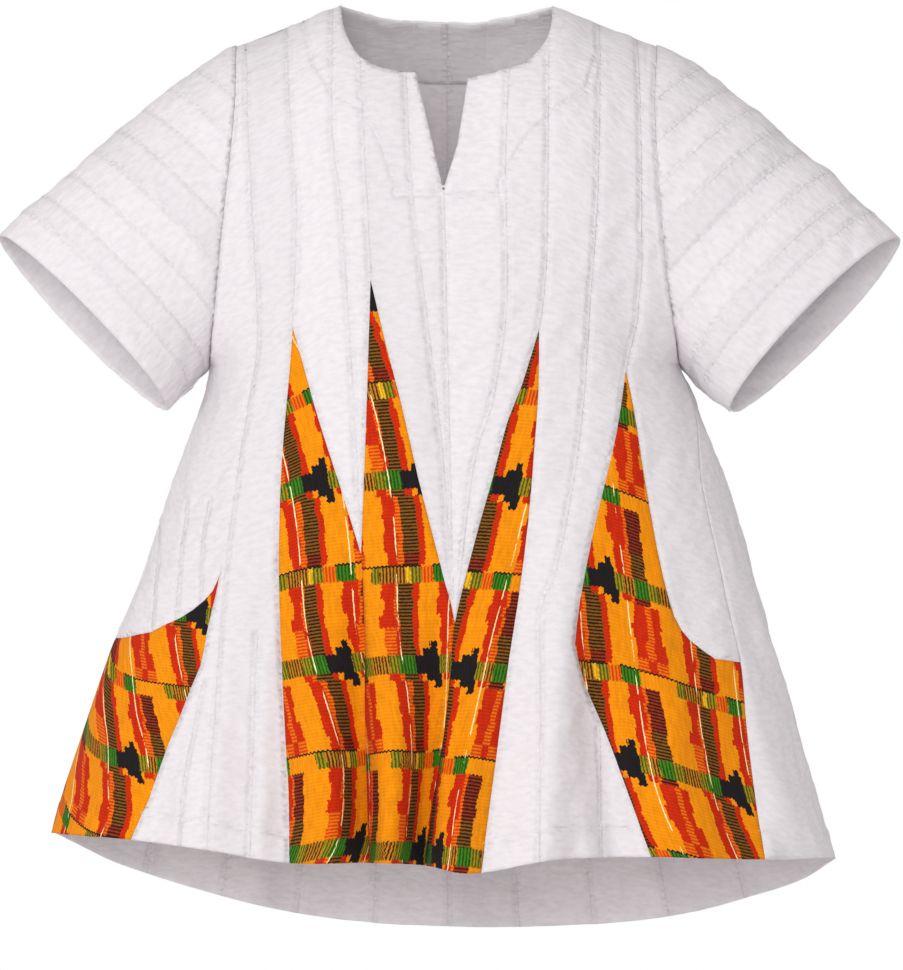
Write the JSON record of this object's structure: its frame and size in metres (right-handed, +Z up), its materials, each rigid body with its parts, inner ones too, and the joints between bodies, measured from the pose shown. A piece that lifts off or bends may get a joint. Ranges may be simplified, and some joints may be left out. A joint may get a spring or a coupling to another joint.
{
  "type": "fugu smock",
  "caption": "White crinkled cotton fugu smock with printed kente-style gores, slit neck and short flared sleeves.",
  "frame": {"origin": "on the middle line, level with the side points of the neck, where the shoulders carry the cloth", "axes": "+Z up, from the hem towards the neck; the front faces -Y; the wearer's right side is at -X"},
  "size_m": [0.7908, 0.3424, 0.8135],
  "materials": {
    "white_cotton": "matte",
    "kente_print": "matte"
  },
  "bodies": {
    "root": {"front_panel": "white_cotton", "back_panel": "white_cotton", "sleeve_right": "white_cotton", "sleeve_left": "white_cotton", "gore_side_right": "kente_print", "gore_outer_right": "kente_print", "gore_inner_right": "kente_print", "gore_inner_left": "kente_print", "gore_broad_left": "kente_print", "back_neck_facing": "white_cotton"}
  },
  "joints": []
}
